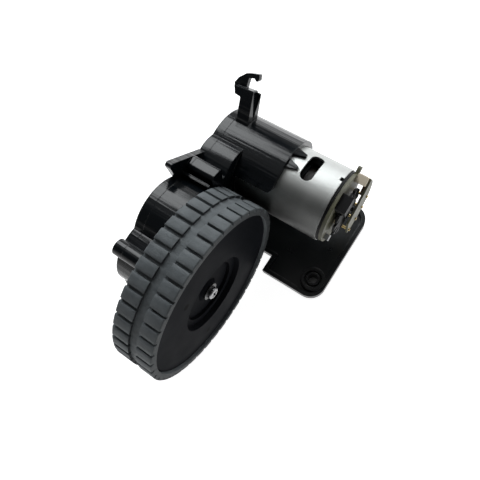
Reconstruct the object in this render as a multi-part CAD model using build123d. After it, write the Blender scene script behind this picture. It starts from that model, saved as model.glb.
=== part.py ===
from build123d import *
import os
from math import acos, cos, pi, radians, sin, sqrt, tan

# Robot vacuum drive wheel module, in millimetres.
# X runs from the wheel towards the motor, -Y is the wheel's outer face and +Z is up.
# The module stands on its bracket's flat underside, with the tyre touching the same plane.
# The origin is on that underside, straight below the motor shaft, about which the arm swings.

os.makedirs("parts", exist_ok=True)

# General fits
RUNNING_CLEARANCE = 0.04
GEAR_CLEARANCE = 0.6
BODY_GAP = 0.3
TYRE_TO_MOTOR = 1.236
CUT_PAST = 1.0

# Tyre and tread
WHEEL_R = 34.0
TREAD_DEPTH = 1.2
GROOVE_DEPTH = 1.0
TYRE_THICKNESS = 2.6
TYRE_OVERHANG = 1.0
TYRE_EDGE = 0.3
OUTER_ROW_WIDTH = 6.0
GROOVE_WIDTH = 3.2
INNER_ROW_WIDTH = 6.7
BLOCKS_PER_ROW = 42
INNER_SLOT_WIDTH = 1.25
OUTER_SLOT_WIDTH = 0.95
INNER_SLOT_ANGLE = 1.0
OUTER_SLOT_ANGLE = 4.4

# Hub of the wheel
HUB_WALL = 1.8
HUB_RIM_WALL = 2.0
HUB_RECESS_R = 14.5
HUB_RECESS_DEPTH = 3.2
HUB_STEP_R = 11.8
HUB_STEP_DEPTH = 1.2
HUB_BOSS_R = 4.6
HUB_BOSS_PROUD = 1.0
HUB_BOSS_TAPER = 1.0
HUB_EDGE = 0.5
HUB_RIM_DEPTH = 13.6
HUB_BOSS_GAP = 0.4
HUB_RIBS = 6
HUB_RIB_WALL = 1.4
HUB_RIB_SETBACK = 4.2

# Output shaft with its washer and screw
SHAFT_R = 3.0
SHAFT_FLAT = 0.5
SHAFT_RECESS = 1.2
WASHER_R = 3.3
WASHER_BORE_R = 1.7
WASHER_THICKNESS = 0.6
WHEEL_SCREW_R = 1.5
WHEEL_SCREW_HEAD_R = 2.3
WHEEL_SCREW_HEAD = 1.7
WHEEL_SCREW_LENGTH = 7.0
SCREW_HEAD_ROUNDING_SHARE = 0.45
CROSS_LENGTH_SHARE = 1.1
CROSS_WIDTH_SHARE = 0.3
CROSS_DEPTH_SHARE = 0.6

# Bushes of the output shaft, and the bulge at the back that holds the rear one
OUTPUT_BUSH_WALL = 1.6
OUTPUT_FLANGE = 0.8
OUTPUT_FLANGE_RIM = 1.4
REAR_BUSH_LENGTH = 2.0
OUTPUT_BULGE = 1.6
OUTPUT_BULGE_WALL = 1.8

# Gear teeth; all tooth sizes grow together when the train has to span a longer way
PRESSURE_ANGLE = 25.0
ADDENDUM_RATIO = 0.85
DEDENDUM_RATIO = 1.15
BACKLASH = 0.1
FIRST_TOOTH_SIZE = 0.5
THIRD_TOOTH_SIZE = 0.6
FOURTH_TOOTH_SIZE = 0.8
MOTOR_PINION_TEETH = 12
FIRST_GEAR_TEETH = 32
FIRST_PINION_TEETH = 12
SECOND_GEAR_TEETH = 38
SECOND_PINION_TEETH = 14
THIRD_GEAR_TEETH = 40
THIRD_PINION_TEETH = 15
OUTPUT_GEAR_TEETH = 28

# Directions from each gear centre to the next, from +X towards +Z
FIRST_STAGE_ANGLE = 143.7
SECOND_STAGE_ANGLE = 186.8
THIRD_STAGE_ANGLE = 155.4
FOURTH_STAGE_ANGLE = 220.5

# Gear widths and their axles
LAYER_GAP = 0.3
FRONT_LAYER = 3.6
MIDDLE_LAYER = 2.2
REAR_LAYER = 2.4
AXLE_R = 1.0
AXLE_SEAT = 1.2
AXLE_REAR_SEAT = 0.8
AXLE_COLLAR = 0.9
COLLAR_CLEARANCE = 0.1
OUTPUT_BOSS_R = 5.5

# Gearbox mouldings
GEARBOX_FRONT_Y = 15.6
FRONT_WALL = 1.8
SEAM_Y = 25.0
GEARBOX_REAR_Y = 28.7
REAR_WALL = 1.6
GEARBOX_WALL = 1.6
REAR_ROUNDING = 0.6
SHOULDER_R = 12.8
SHOULDER_RISE = 9.0
SCREW_BOSS_R = 2.9
CASE_SCREW_R = 1.1
CASE_SCREW_HEAD_R = 2.0
CASE_SCREW_HEAD = 1.4
CASE_SCREW_GRIP = 6.0
CASE_SCREW_END_GAP = 0.4

# Block round the upper case screw, and the thin rib beside it
SCREW_BLOCK_SHIFT = -3.1
SCREW_BLOCK_RISE = 3.3
SCREW_BLOCK_WIDTH = 5.4
SCREW_BLOCK_HEIGHT = 7.0
SCREW_BLOCK_ANGLE = -15.0
SCREW_BLOCK_ROUNDING = 1.5
RIB_X = -22.5
RIB_THICKNESS = 1.1
RIB_RISE = 21.0

# Sleeve that holds the motor, and its two fingers
SLEEVE_CLEARANCE = 0.15
SLEEVE_WALL = 1.9
SLEEVE_END_Y = 0.0
SLEEVE_TOP_ANGLE = 136.0
SLEEVE_LOW_ANGLE = -80.0
SLEEVE_CORNER_R = 2.5
FINGER_LENGTH = 4.0
FINGER_OVERLAP = 1.0
FINGER_THICKNESS = 0.9
FINGER_ROOT = 4.4
FINGER_TIP = 1.0
FINGER_ANGLES = (66.0, 89.0)

# Spring hook, with outlines in (distance along the hook, Y)
HOOK_ANGLE = 43.0
HOOK_BAR_FACE = 7.8
HOOK_BAR_THICKNESS = 3.4
HOOK_CLAW_FACE = 6.1
HOOK_CLAW_THICKNESS = 2.0
HOOK_ROUNDING = 0.4
HOOK_BAR_OUTLINE = ((9.0, 18.6), (26.0, 21.2), (25.3, 28.8), (22.7, 27.8), (22.4, 25.4), (9.0, 23.6))
HOOK_CLAW_OUTLINE = (
    (24.0, 25.0), (28.9, 25.1), (29.6, 23.1), (28.7, 21.9), (29.8, 21.3), (31.5, 21.8),
    (30.75, 24.8), (30.05, 26.6), (27.8, 28.9), (25.8, 29.9), (24.0, 29.5),
)

# Gusset behind the hook's post, with its outline in (distance along the hook, offset)
GUSSET_OUTLINE = ((9.0, 0.6), (14.0, 0.6), (25.5, 4.6), (9.0, 4.6))
GUSSET_FROM_Y = 19.6
GUSSET_TO_Y = 23.8

# Ear on the rear cover
EAR_THICKNESS = 2.3
EAR_TIP_X = -25.1
EAR_RISE = 31.4
EAR_ROOT_X = -11.0
EAR_ROOT_RISE = 17.0
EAR_TIP_R = 1.1

# Motor
MOTOR_R = 13.85
CAN_WALL = 0.8
CAN_END_Y = -18.8
CAN_ROUNDING = 0.5
CAN_SLOT_FROM_ANGLE = 50.0
CAN_SLOT_TO_ANGLE = 99.0
CAN_SLOT_Y = -7.6
CAN_SLOT_WIDTH = 4.7
CAN_SLOT_ROUNDING_SHARE = 0.48
CRIMP_ANGLES = (71.0, 191.0, 311.0)
CRIMP_WIDTH = 1.6
CRIMP_DEPTH = 1.1
CAN_BOSS_R = 5.0
CAN_BOSS_LENGTH = 1.6
MOTOR_SHAFT_R = 1.0
BEARING_R = 3.0
BEARING_LENGTH = 3.0
MAGNET_THICKNESS = 2.2
MAGNET_LENGTH = 22.0
MAGNET_SPREAD_ANGLE = 130.0
MAGNET_ANGLES = (-15.0, 165.0)
AIR_GAP = 0.5
CORE_LENGTH = 16.0
CORE_POLES = 5
CORE_NECK_R = 4.2
CORE_SHIFT = 3.7
CORE_TIP = 1.2
CORE_MOUTH = 0.8
WINDING_HALF_ANGLE = 24.0
WINDING_OVERHANG = 2.6
WINDING_BORE_GAP = 1.0
COMMUTATOR_R = 3.6
COMMUTATOR_LENGTH = 4.8
COMMUTATOR_GAP = 3.0
COMMUTATOR_CUT_DEPTH = 0.5
COMMUTATOR_CUT_WIDTH = 0.4
END_CAP_THICKNESS = 0.9
END_CAP_SETBACK = 0.35
END_CAP_DEPTH = 2.2
END_CAP_SKIRT = 1.4
BEARING_SEAT_WALL = 1.2
BRUSH_LENGTH = 5.0
BRUSH_WIDTH = 2.4
BRUSH_HEIGHT = 4.8
BRUSH_GAP = 0.05
BRUSH_SETBACK = 3.4
BRUSH_STEM = 1.6
BRUSH_ANGLES = (20.0, 200.0)
MOTOR_SCREW_R = 1.25
MOTOR_SCREW_HEAD_R = 2.2
MOTOR_SCREW_HEAD = 0.9
MOTOR_SCREW_SPREAD = 8.0
MOTOR_SCREW_TIP = 0.6

# Boards and what they carry
BOARD_THICKNESS = 1.3
ENCODER_BOARD_THICKNESS = 0.8
BOARD_SETBACK = 0.65
ENCODER_BOARD_INSET = 0.15
ENCODER_BOARD_R = MOTOR_R - ENCODER_BOARD_INSET
BOARD_SPACE = 3.9
BOARD_BORE_R = 4.0
BOARD_TAB_ANGLE = 29.0
BOARD_TAB_WIDTH = 2.0
BOARD_TAB_REACH = 2.2
ENCODER_WHEEL_INSET = 4.85
ENCODER_WHEEL_R = MOTOR_R - ENCODER_WHEEL_INSET
ENCODER_WHEEL_THICKNESS = 0.9
ENCODER_WHEEL_HUB_R = 2.6
ENCODER_SLOTS = 12
ENCODER_SLOT_DEPTH = 2.6
ENCODER_SLOT_WIDTH = 1.6
BOARD_PIN_R = 0.5
BOARD_PIN_SETBACK = 2.1
BOARD_PIN_PROUD = 0.5
BOARD_PIN_ANGLES = (262, 286, 310, 334)
ENCODER_BOARD_CUT = 1.8
ENCODER_BOARD_ANGLE = 35.7
ENCODER_BOARD_SIDE = 2.5
SENSOR_ANGLE = 100.0
SENSOR_SHIFT = 0.4
SENSOR_WIDTH = 6.0
SENSOR_DEPTH = 5.0
CONNECTOR_ANGLE = 27.0
CONNECTOR_SETBACK = 1.65
CONNECTOR_WIDTH = 4.2
CONNECTOR_HEIGHT = 3.2
CONNECTOR_WALL = 0.6
CONNECTOR_PIN_SPACING = 1.0
CONNECTOR_PIN_WIDTH = 0.5
CONNECTOR_PIN_SETBACK = 0.7
CAPACITOR_ANGLE = 0.0
CAPACITOR_R = 2.4
CAPACITOR_THICKNESS = 1.1
CAPACITOR_SETBACK = 3.4
CHIP_ANGLE = 198.0
CHIP_SETBACK = 2.85
CHIP_WIDTH = 3.0
CHIP_DEPTH = 2.2
CHIP_HEIGHT = 1.6

# Bracket
FLOOR_THICKNESS = 2.0
RIM_HEIGHT = 4.0
RIM_WALL = 1.8
PLATE_LEFT_X = -28.8
PLATE_OVERHANG = 1.0
PLATE_FRONT_Y = -27.9
PLATE_CORNER_R = 6.5
NOTCH_Y = -2.5
REAR_WALL_GAP = 0.5
REAR_WALL_THICKNESS = 3.0
PIVOT_PIN_R = 3.0
PIVOT_DEPTH = 3.6
PIVOT_EAR_R = 6.0
PIVOT_BOSS_WALL = 1.5
PIVOT_HEAD_R = 4.2
PIVOT_HEAD = 1.2
PIVOT_HEAD_ROUNDING = 0.5
POST_LEFT_INSET = 6.0
POST_RIGHT_INSET = 2.0
PLATE_BOSS_R = 4.8
PLATE_BOSS_HEIGHT = 5.5
PLATE_HOLE_R = 1.8
PLATE_RECESS_R = 3.4
PLATE_RECESS_DEPTH = 1.6
PLATE_HOLE_RIM = 0.9
PLATE_HOLES = ((-21.4, -22.1), (4.0, 15.0), (-13.0, 22.5))
CRADLE_WALL = 2.4
CRADLE_FROM_Y = 3.0
CRADLE_TO_Y = 9.0
CRADLE_LOW_ANGLE = -105.0
CRADLE_HIGH_ANGLE = -33.0
CRADLE_WEB_LEFT = 4.8
CRADLE_WEB_SETBACK = 0.8
CRADLE_WEB_TOP = 9.2
CRADLE_WINDOW_LEFT = 1.8
CRADLE_WINDOW_RIGHT = 6.2
CRADLE_WINDOW_GAP = 1.6
STOP_GAP = 0.9198
STOP_WIDTH = 2.6
STOP_FROM_Y = 17.5
STOP_TO_Y = 24.5

# Places that follow from the sizes above


def centre_distance(module, teeth_a, teeth_b):
    return module * (teeth_a + teeth_b) / 2


def tip_radius(teeth, module):
    return module * (teeth / 2 + ADDENDUM_RATIO)


def step(point, angle, distance):
    x = point[0] + distance * cos(radians(angle))
    z = point[1] + distance * sin(radians(angle))
    return (x, z)


NOMINAL_STAGES = (
    (FIRST_STAGE_ANGLE, centre_distance(FIRST_TOOTH_SIZE, MOTOR_PINION_TEETH, FIRST_GEAR_TEETH)),
    (SECOND_STAGE_ANGLE, centre_distance(FIRST_TOOTH_SIZE, FIRST_PINION_TEETH, SECOND_GEAR_TEETH)),
    (THIRD_STAGE_ANGLE, centre_distance(THIRD_TOOTH_SIZE, SECOND_PINION_TEETH, THIRD_GEAR_TEETH)),
    (FOURTH_STAGE_ANGLE, centre_distance(FOURTH_TOOTH_SIZE, THIRD_PINION_TEETH, OUTPUT_GEAR_TEETH)),
)
AXLE_SPACING = WHEEL_R + MOTOR_R + TYRE_TO_MOTOR
NOMINAL_SPAN = -sum(distance * cos(radians(angle)) for angle, distance in NOMINAL_STAGES)
TRAIN_SCALE = AXLE_SPACING / NOMINAL_SPAN
FIRST_MODULE = FIRST_TOOTH_SIZE * TRAIN_SCALE
THIRD_MODULE = THIRD_TOOTH_SIZE * TRAIN_SCALE
FOURTH_MODULE = FOURTH_TOOTH_SIZE * TRAIN_SCALE
STAGES = tuple((angle, distance * TRAIN_SCALE) for angle, distance in NOMINAL_STAGES)
TRAIN_RISE = sum(distance * sin(radians(angle)) for angle, distance in STAGES)
MOTOR = (0.0, WHEEL_R - TRAIN_RISE)
GEAR_1 = step(MOTOR, *STAGES[0])
GEAR_2 = step(GEAR_1, *STAGES[1])
GEAR_3 = step(GEAR_2, *STAGES[2])
WHEEL = step(GEAR_3, *STAGES[3])

TYRE_FRONT_Y = -TYRE_OVERHANG
GROOVE_FROM_Y = TYRE_FRONT_Y + OUTER_ROW_WIDTH
GROOVE_TO_Y = GROOVE_FROM_Y + GROOVE_WIDTH
TYRE_REAR_Y = GROOVE_TO_Y + INNER_ROW_WIDTH
HUB_R = WHEEL_R - TYRE_THICKNESS
RECESS_FLOOR_Y = HUB_RECESS_DEPTH
BOSS_FRONT_Y = RECESS_FLOOR_Y - HUB_BOSS_PROUD
SHAFT_FRONT_Y = BOSS_FRONT_Y + SHAFT_RECESS
FLAT_END_Y = GEARBOX_FRONT_Y - OUTPUT_FLANGE - HUB_BOSS_GAP

CAVITY_FRONT_Y = GEARBOX_FRONT_Y + FRONT_WALL
CAVITY_REAR_Y = GEARBOX_REAR_Y - REAR_WALL
FRONT_LAYER_Y = CAVITY_FRONT_Y + LAYER_GAP
MIDDLE_LAYER_Y = FRONT_LAYER_Y + FRONT_LAYER + LAYER_GAP
REAR_LAYER_Y = MIDDLE_LAYER_Y + MIDDLE_LAYER + LAYER_GAP
REAR_LAYER_END_Y = REAR_LAYER_Y + REAR_LAYER
FRONT_GEARS_Y = (FRONT_LAYER_Y, FRONT_LAYER_Y + FRONT_LAYER)
MIDDLE_GEARS_Y = (MIDDLE_LAYER_Y, MIDDLE_LAYER_Y + MIDDLE_LAYER)
REAR_GEARS_Y = (REAR_LAYER_Y, REAR_LAYER_END_Y)
AXLE_FROM_Y = CAVITY_FRONT_Y - AXLE_SEAT
AXLE_TO_Y = CAVITY_REAR_Y + AXLE_REAR_SEAT
AXLE_COLLAR_R = AXLE_R + AXLE_COLLAR

OUTPUT_BUSH_R = SHAFT_R + OUTPUT_BUSH_WALL
BUSH_BORE_R = SHAFT_R + RUNNING_CLEARANCE
OUTPUT_BULGE_R = OUTPUT_BUSH_R + OUTPUT_BULGE_WALL
SHAFT_REAR_Y = CAVITY_REAR_Y + REAR_BUSH_LENGTH - LAYER_GAP

MOTOR_POCKET_R = MOTOR_R + SLEEVE_CLEARANCE
SLEEVE_R = MOTOR_POCKET_R + SLEEVE_WALL
LOBE_1_R = tip_radius(FIRST_GEAR_TEETH, FIRST_MODULE) + GEAR_CLEARANCE + GEARBOX_WALL
LOBE_2_R = tip_radius(SECOND_GEAR_TEETH, FIRST_MODULE) + GEAR_CLEARANCE + GEARBOX_WALL
LOBE_3_R = tip_radius(THIRD_GEAR_TEETH, THIRD_MODULE) + GEAR_CLEARANCE + GEARBOX_WALL
OUTPUT_LOBE_R = tip_radius(OUTPUT_GEAR_TEETH, FOURTH_MODULE) + GEAR_CLEARANCE + GEARBOX_WALL
SHOULDER = (WHEEL[0], WHEEL[1] + SHOULDER_RISE)
LOBES = (
    (MOTOR, SLEEVE_R),
    (GEAR_1, LOBE_1_R),
    (GEAR_2, LOBE_2_R),
    (GEAR_3, LOBE_3_R),
    (WHEEL, OUTPUT_LOBE_R),
    (SHOULDER, SHOULDER_R),
)

CAN_FRONT_Y = GEARBOX_FRONT_Y
CAP_REAR_Y = CAN_END_Y - END_CAP_THICKNESS
BOARD_FRONT_Y = CAP_REAR_Y
BOARD_REAR_Y = BOARD_FRONT_Y - BOARD_THICKNESS
ENCODER_BOARD_Y = BOARD_REAR_Y - BOARD_SPACE
ENCODER_BOARD_END_Y = ENCODER_BOARD_Y - ENCODER_BOARD_THICKNESS
ENCODER_WHEEL_Y = (BOARD_REAR_Y + ENCODER_BOARD_Y - ENCODER_WHEEL_THICKNESS) / 2
MOTOR_SHAFT_REAR_Y = ENCODER_WHEEL_Y - LAYER_GAP
MOTOR_SHAFT_FRONT_Y = FRONT_LAYER_Y + FRONT_LAYER
CAN_MIDDLE_Y = (CAN_END_Y + CAN_FRONT_Y) / 2
CORE_R = MOTOR_R - CAN_WALL - MAGNET_THICKNESS - AIR_GAP
CORE_FROM_Y = CAN_MIDDLE_Y + CORE_SHIFT - CORE_LENGTH / 2
CORE_TO_Y = CORE_FROM_Y + CORE_LENGTH

REAR_WALL_Y = GEARBOX_REAR_Y + REAR_WALL_GAP
PLATE_REAR_Y = REAR_WALL_Y + REAR_WALL_THICKNESS
PLATE_RIGHT_X = MOTOR_R + PLATE_OVERHANG
PIVOT_BOSS_R = PIVOT_PIN_R + RUNNING_CLEARANCE + PIVOT_BOSS_WALL


def boss_place(angle, centre, lobe_r):
    """Screw boss that stands half outside its lobe, clear of the gears."""
    return step(centre, angle, lobe_r + SCREW_BOSS_R - GEARBOX_WALL)


def valley(centre_a, r_a, centre_b, r_b, side):
    """Point where two lobe outlines cross, above (+1) or below (-1) their line."""
    dx = centre_b[0] - centre_a[0]
    dz = centre_b[1] - centre_a[1]
    gap = sqrt(dx * dx + dz * dz)
    along = (r_a * r_a - r_b * r_b + gap * gap) / (2 * gap)
    half = sqrt(max(r_a * r_a - along * along, 0.0))
    ux = dx / gap
    uz = dz / gap
    upwards = half * (side if ux > 0 else -side)
    return (centre_a[0] + along * ux - upwards * uz, centre_a[1] + along * uz + upwards * ux)


UPPER_VALLEY = valley(GEAR_1, LOBE_1_R, GEAR_2, LOBE_2_R, 1)
LOWER_VALLEY = valley(MOTOR, SLEEVE_R, GEAR_2, LOBE_2_R, -1)
FAR_VALLEY = valley(GEAR_2, LOBE_2_R, GEAR_3, LOBE_3_R, -1)
SCREW_BLOCK = (UPPER_VALLEY[0] + SCREW_BLOCK_SHIFT, UPPER_VALLEY[1] + SCREW_BLOCK_RISE)
CASE_SCREWS = (
    SCREW_BLOCK,
    (LOWER_VALLEY[0], LOWER_VALLEY[1] - SCREW_BOSS_R),
    (FAR_VALLEY[0], FAR_VALLEY[1] - SCREW_BOSS_R),
    boss_place(110.5, SHOULDER, SHOULDER_R),
    boss_place(224.0, WHEEL, OUTPUT_LOBE_R),
)
STOP_RIGHT_X = CASE_SCREWS[1][0] - SCREW_BOSS_R - STOP_GAP
NOTCH_X = STOP_RIGHT_X - STOP_WIDTH


# Helpers


def along_y(face, y_from, y_to):
    """Extrude a sketch drawn in X and Z from one Y to another."""
    plane = Plane(origin=(0, y_to, 0), x_dir=(1, 0, 0), z_dir=(0, -1, 0))
    return extrude(plane * face, y_to - y_from)


def rod(centre, radius, y_from, y_to):
    return along_y(Pos(*centre) * Circle(radius), y_from, y_to)


def tube(centre, radius, bore, y_from, y_to):
    return along_y(Pos(*centre) * (Circle(radius) - Circle(bore)), y_from, y_to)


def turned(centre, profile):
    """Revolve a profile of (radius, y) points about a Y line through the centre."""
    face = Plane(origin=(centre[0], 0, centre[1])) * Polygon(*profile, align=None)
    return revolve(face, Axis((centre[0], 0, centre[1]), (0, 1, 0)))


def block(x_from, x_to, y_from, y_to, z_from, z_to):
    middle = ((x_from + x_to) / 2, (y_from + y_to) / 2, (z_from + z_to) / 2)
    return Pos(*middle) * Box(x_to - x_from, y_to - y_from, z_to - z_from)


def sector(centre, r_in, r_out, angle_from, angle_to):
    """Flat ring sector in X and Z, with true arcs."""
    middle = radians((angle_from + angle_to) / 2)
    start = radians(angle_from)
    end = radians(angle_to)

    def at(radius, angle):
        return (radius * cos(angle), radius * sin(angle))

    outer = ThreePointArc(at(r_out, start), at(r_out, middle), at(r_out, end))
    inner = ThreePointArc(at(r_in, end), at(r_in, middle), at(r_in, start))
    sides = Line(at(r_out, end), at(r_in, end)) + Line(at(r_in, start), at(r_out, start))
    return Pos(*centre) * make_face([*outer.edges(), *inner.edges(), *sides.edges()])


def spoke(centre, angle, r_from, r_to, width):
    """Radial bar in X and Z."""
    bar = Pos((r_from + r_to) / 2, 0) * Rectangle(r_to - r_from, width)
    return Pos(*centre) * (Rot(0, 0, angle) * bar)


def save(solid, node, colour):
    solid.label = node
    solid.color = Color(*colour)
    export_step(solid, f"parts/{node}.step")


# Gears


def involute(angle):
    return tan(angle) - angle


def gear_face(teeth, module, phase):
    """Spur gear outline in X and Z, with a tooth centred on the phase angle."""
    pitch_r = module * teeth / 2
    base_r = pitch_r * cos(radians(PRESSURE_ANGLE))
    tip_r = tip_radius(teeth, module)
    root_r = pitch_r - DEDENDUM_RATIO * module
    half_tooth = (pi * module / 2 - BACKLASH) / 2 / pitch_r
    spread = half_tooth + involute(radians(PRESSURE_ANGLE))

    def half_angle(radius):
        return spread - involute(acos(min(1.0, base_r / max(radius, base_r))))

    flank = [(r, half_angle(r)) for r in (root_r, (pitch_r + root_r) / 2, pitch_r, tip_r)]
    points = []
    for tooth in range(teeth):
        middle = radians(phase) + 2 * pi * tooth / teeth
        for radius, half in flank:
            points.append((radius * cos(middle - half), radius * sin(middle - half)))
        for radius, half in reversed(flank):
            points.append((radius * cos(middle + half), radius * sin(middle + half)))
    return Polygon(*points, align=None)


def meshed_phase(phase, teeth, direction, next_teeth):
    """Phase of the next gear when it is in mesh, with the direction from this gear to it."""
    share = (direction - phase) * teeth / 360
    return direction + 180 - (0.5 - share) * 360 / next_teeth


def gear(centre, teeth, module, phase, bore, y_from, y_to):
    face = gear_face(teeth, module, phase) - Circle(bore)
    return along_y(Pos(*centre) * face, y_from, y_to)


def pinion_phase(gear_teeth, stage_angle, pinion_teeth):
    """Phase of a pinion in mesh with the next gear, which has a tooth on +X."""
    return meshed_phase(0.0, gear_teeth, stage_angle - 180, pinion_teeth)


MOTOR_PINION_PHASE = pinion_phase(FIRST_GEAR_TEETH, FIRST_STAGE_ANGLE, MOTOR_PINION_TEETH)
FIRST_PINION_PHASE = pinion_phase(SECOND_GEAR_TEETH, SECOND_STAGE_ANGLE, FIRST_PINION_TEETH)
SECOND_PINION_PHASE = pinion_phase(THIRD_GEAR_TEETH, THIRD_STAGE_ANGLE, SECOND_PINION_TEETH)
THIRD_PINION_PHASE = pinion_phase(OUTPUT_GEAR_TEETH, FOURTH_STAGE_ANGLE, THIRD_PINION_TEETH)


def compound_gear(centre, big, big_y, small, small_y):
    """Wheel and pinion moulded in one piece, on a collar that keeps them apart."""
    bore = AXLE_R + RUNNING_CLEARANCE
    teeth, module, phase = big
    body = gear(centre, teeth, module, phase, bore, *big_y)
    small_teeth, small_module, small_phase = small
    body += gear(centre, small_teeth, small_module, small_phase, bore, *small_y)
    collar_r = small_module * (small_teeth / 2 - DEDENDUM_RATIO)
    y_from = min(big_y[1], small_y[1])
    y_to = max(big_y[0], small_y[0])
    return body + tube(centre, collar_r, bore, y_from, y_to)


# Wheel


def make_tyre():
    bore = HUB_R
    tread_low = WHEEL_R - GROOVE_DEPTH
    edge = TYRE_EDGE
    profile = [
        (bore, TYRE_FRONT_Y),
        (WHEEL_R - edge, TYRE_FRONT_Y),
        (WHEEL_R, TYRE_FRONT_Y + edge),
        (WHEEL_R, GROOVE_FROM_Y),
        (tread_low, GROOVE_FROM_Y),
        (tread_low, GROOVE_TO_Y),
        (WHEEL_R, GROOVE_TO_Y),
        (WHEEL_R, TYRE_REAR_Y - edge),
        (WHEEL_R - edge, TYRE_REAR_Y),
        (bore, TYRE_REAR_Y),
    ]
    tyre = turned(WHEEL, profile)
    pitch = 360 / BLOCKS_PER_ROW
    slot_r = WHEEL_R - TREAD_DEPTH
    reach = WHEEL_R + TREAD_DEPTH
    inner = Sketch() + [
        spoke(WHEEL, INNER_SLOT_ANGLE + n * pitch, slot_r, reach, INNER_SLOT_WIDTH)
        for n in range(BLOCKS_PER_ROW)
    ]
    outer = Sketch() + [
        spoke(WHEEL, OUTER_SLOT_ANGLE + n * pitch, slot_r, reach, OUTER_SLOT_WIDTH)
        for n in range(BLOCKS_PER_ROW)
    ]
    tyre -= along_y(inner, GROOVE_TO_Y, TYRE_REAR_Y + TREAD_DEPTH)
    tyre -= along_y(outer, TYRE_FRONT_Y - TREAD_DEPTH, GROOVE_FROM_Y)
    return tyre


def make_hub():
    web_back = RECESS_FLOOR_Y + HUB_WALL
    step_r = HUB_RECESS_R + HUB_WALL
    profile = [
        (0, BOSS_FRONT_Y),
        (HUB_BOSS_R - HUB_BOSS_TAPER, BOSS_FRONT_Y),
        (HUB_BOSS_R, RECESS_FLOOR_Y),
        (HUB_STEP_R, RECESS_FLOOR_Y),
        (HUB_STEP_R, RECESS_FLOOR_Y - HUB_STEP_DEPTH),
        (HUB_RECESS_R, RECESS_FLOOR_Y - HUB_STEP_DEPTH),
        (HUB_RECESS_R + HUB_EDGE, 0),
        (HUB_R - HUB_EDGE, 0),
        (HUB_R, HUB_EDGE),
        (HUB_R, HUB_RIM_DEPTH),
        (HUB_R - HUB_RIM_WALL, HUB_RIM_DEPTH),
        (HUB_R - HUB_RIM_WALL, HUB_WALL),
        (step_r, HUB_WALL),
        (step_r, web_back),
        (HUB_BOSS_R, web_back),
        (HUB_BOSS_R, FLAT_END_Y),
        (0, FLAT_END_Y),
    ]
    hub = turned(WHEEL, profile)
    ribs = Sketch() + [
        spoke(WHEEL, n * 360 / HUB_RIBS, HUB_BOSS_R - HUB_EDGE, HUB_R - HUB_RIM_WALL / 2, HUB_RIB_WALL)
        for n in range(HUB_RIBS)
    ]
    hub += along_y(ribs, web_back - HUB_WALL / 2, HUB_RIM_DEPTH - HUB_RIB_SETBACK)
    return hub - shaft_blank(SHAFT_FRONT_Y, GEARBOX_FRONT_Y) - rod(WHEEL, WASHER_BORE_R, 0, SHAFT_FRONT_Y)


def shaft_blank(y_from, y_to):
    """Round shaft with two flats, which drive the hub."""
    face = Circle(SHAFT_R) & Rectangle(2 * SHAFT_R, 2 * (SHAFT_R - SHAFT_FLAT))
    return along_y(Pos(*WHEEL) * face, y_from, y_to)


def make_output_shaft():
    shaft = shaft_blank(SHAFT_FRONT_Y, FLAT_END_Y) + rod(WHEEL, SHAFT_R, FLAT_END_Y, SHAFT_REAR_Y)
    return shaft - rod(WHEEL, WHEEL_SCREW_R, SHAFT_FRONT_Y, SHAFT_FRONT_Y + WHEEL_SCREW_LENGTH)


def make_output_gear():
    body = gear(WHEEL, OUTPUT_GEAR_TEETH, FOURTH_MODULE, 0.0, SHAFT_R, *FRONT_GEARS_Y)
    return body + tube(WHEEL, OUTPUT_BOSS_R, SHAFT_R, FRONT_GEARS_Y[1], REAR_LAYER_Y - LAYER_GAP)


def pan_screw(centre, thread_r, head_r, head, length, head_y, way):
    """Pan-head cross-recess screw: its head stands on head_y and its thread runs the given way."""
    y_a = head_y - way * head
    y_b = head_y + way * length
    screw = rod(centre, head_r, min(y_a, head_y), max(y_a, head_y))
    edge = screw.edges().group_by(Axis.Y)[0 if way > 0 else -1]
    screw = fillet(edge, head * SCREW_HEAD_ROUNDING_SHARE)
    screw += rod(centre, thread_r, min(head_y, y_b), max(head_y, y_b))
    long_side = head_r * CROSS_LENGTH_SHARE
    short_side = head_r * CROSS_WIDTH_SHARE
    cross = Rectangle(long_side, short_side) + Rectangle(short_side, long_side)
    depth_y = y_a + way * head * CROSS_DEPTH_SHARE
    return screw - along_y(Pos(*centre) * cross, min(y_a, depth_y), max(y_a, depth_y))


def make_wheel_parts():
    washer_y = BOSS_FRONT_Y - WASHER_THICKNESS
    parts = {
        "tyre": (make_tyre(), (0.42, 0.43, 0.44)),
        "wheel_hub": (make_hub(), (0.10, 0.10, 0.11)),
        "output_shaft": (make_output_shaft(), (0.72, 0.72, 0.74)),
        "output_gear": (make_output_gear(), (0.90, 0.88, 0.80)),
        "wheel_washer": (
            tube(WHEEL, WASHER_R, WASHER_BORE_R, washer_y, BOSS_FRONT_Y),
            (0.70, 0.70, 0.72),
        ),
        "wheel_screw": (
            pan_screw(WHEEL, WHEEL_SCREW_R, WHEEL_SCREW_HEAD_R, WHEEL_SCREW_HEAD,
                      WHEEL_SCREW_LENGTH, washer_y, 1),
            (0.75, 0.75, 0.77),
        ),
    }
    return parts


# Gearbox mouldings


def lobe_blanks(shrink, y_from, y_to, rounding):
    """All lobes of the gearbox as cylinders, with rounded rear edges where asked."""
    body = None
    for centre, radius in LOBES:
        blank = rod(centre, radius - shrink, y_from, y_to)
        if rounding:
            blank = fillet(blank.edges().group_by(Axis.Y)[-1], rounding)
        body = blank if body is None else body + blank
    return body


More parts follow.
